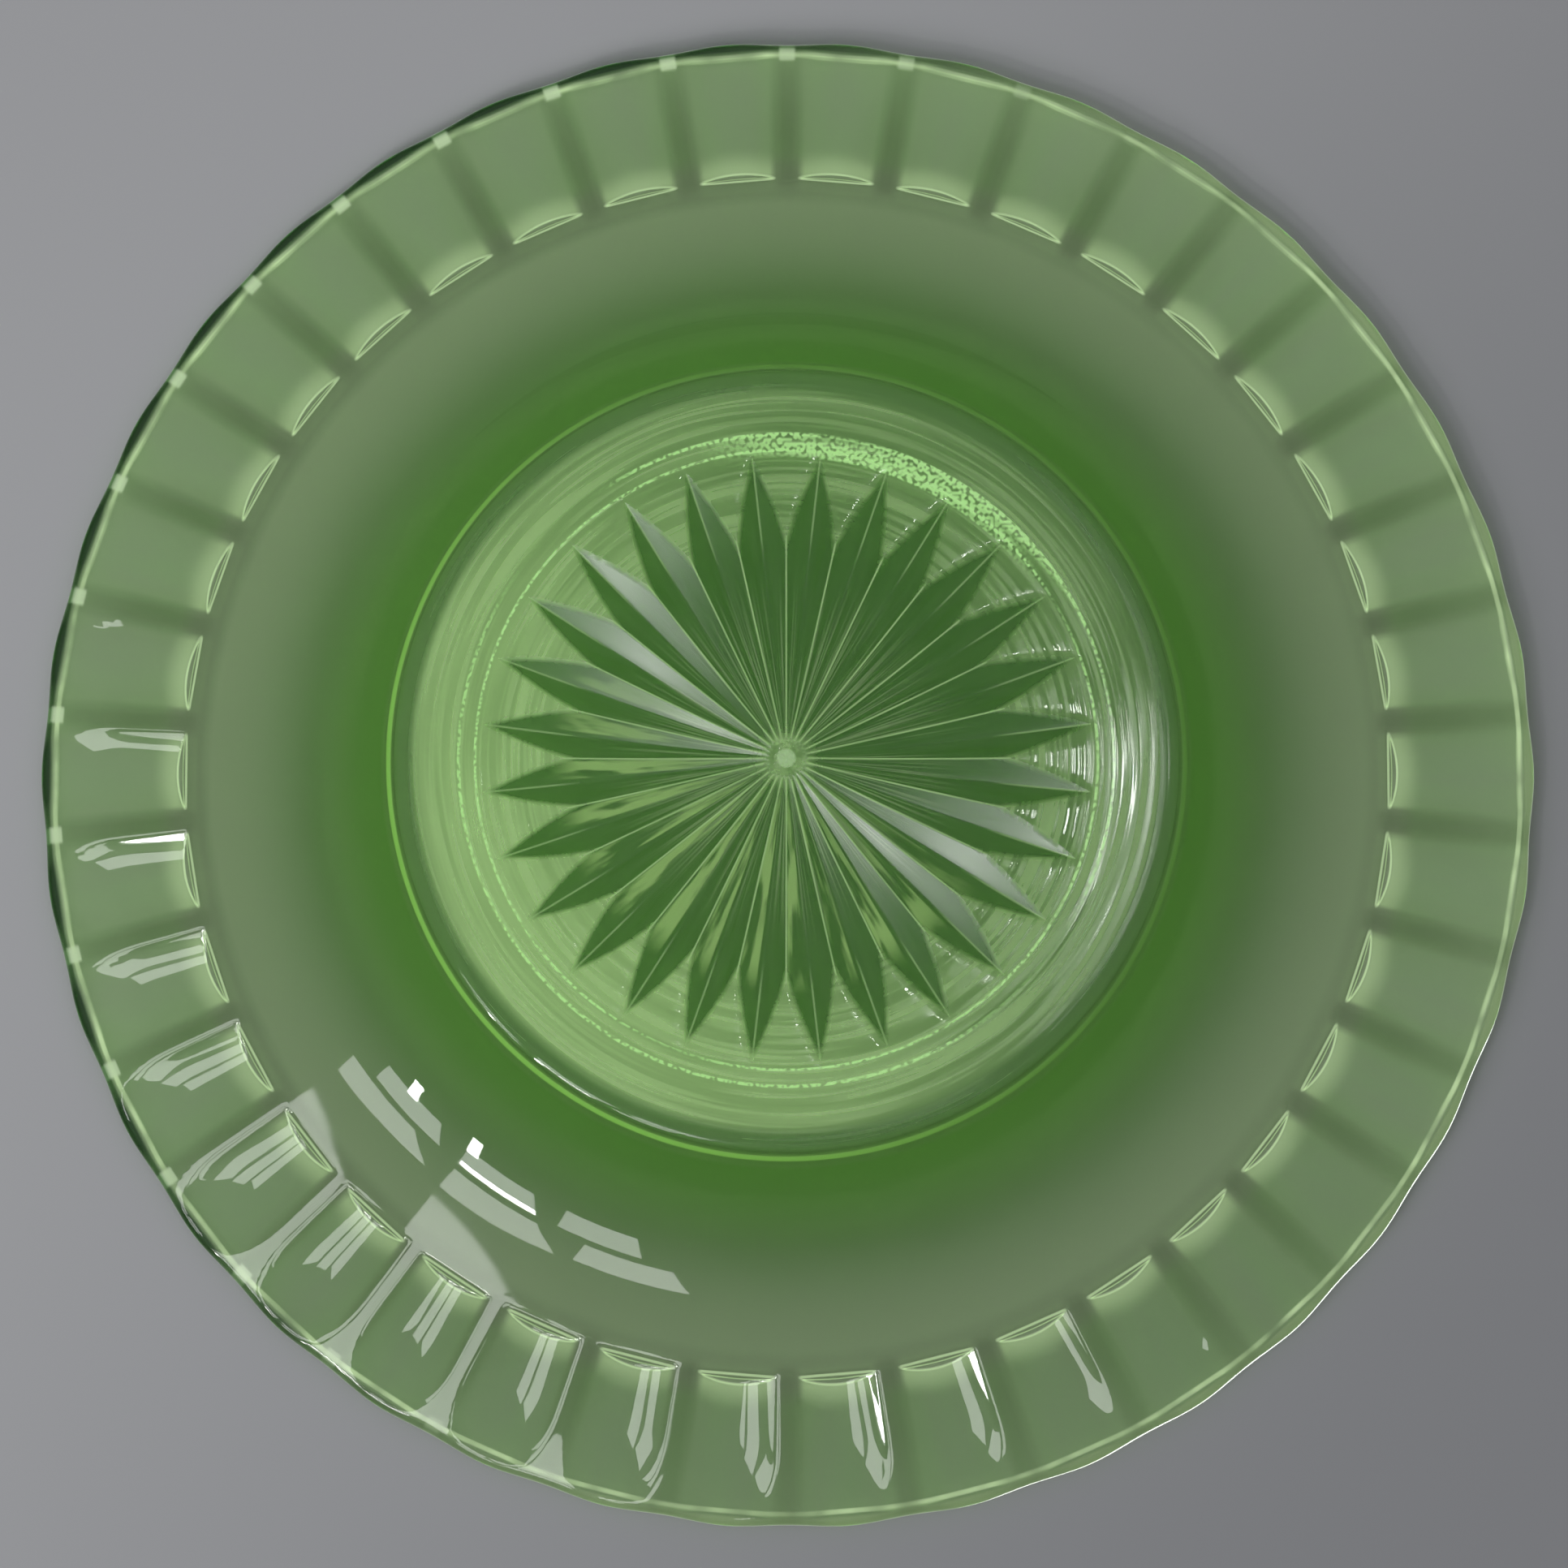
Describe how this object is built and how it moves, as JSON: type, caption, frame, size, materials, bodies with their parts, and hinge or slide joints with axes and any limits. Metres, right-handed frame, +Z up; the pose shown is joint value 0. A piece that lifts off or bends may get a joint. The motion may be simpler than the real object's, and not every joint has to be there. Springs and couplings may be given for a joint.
{
  "type": "pressed-glass dish",
  "caption": "Round shallow pressed-glass dish with scooped panels round the outside of its brim and a cut star under its flat foot.",
  "frame": {"origin": "centre of the foot, on the surface the dish stands on", "axes": "+Z up through the middle of the dish, from the foot to the open lip; +X through the middle of one brim panel"},
  "size_m": [0.23, 0.23, 0.028],
  "materials": {
    "green_glass": "polished"
  },
  "bodies": {
    "root": {"dish": "green_glass"}
  },
  "joints": []
}
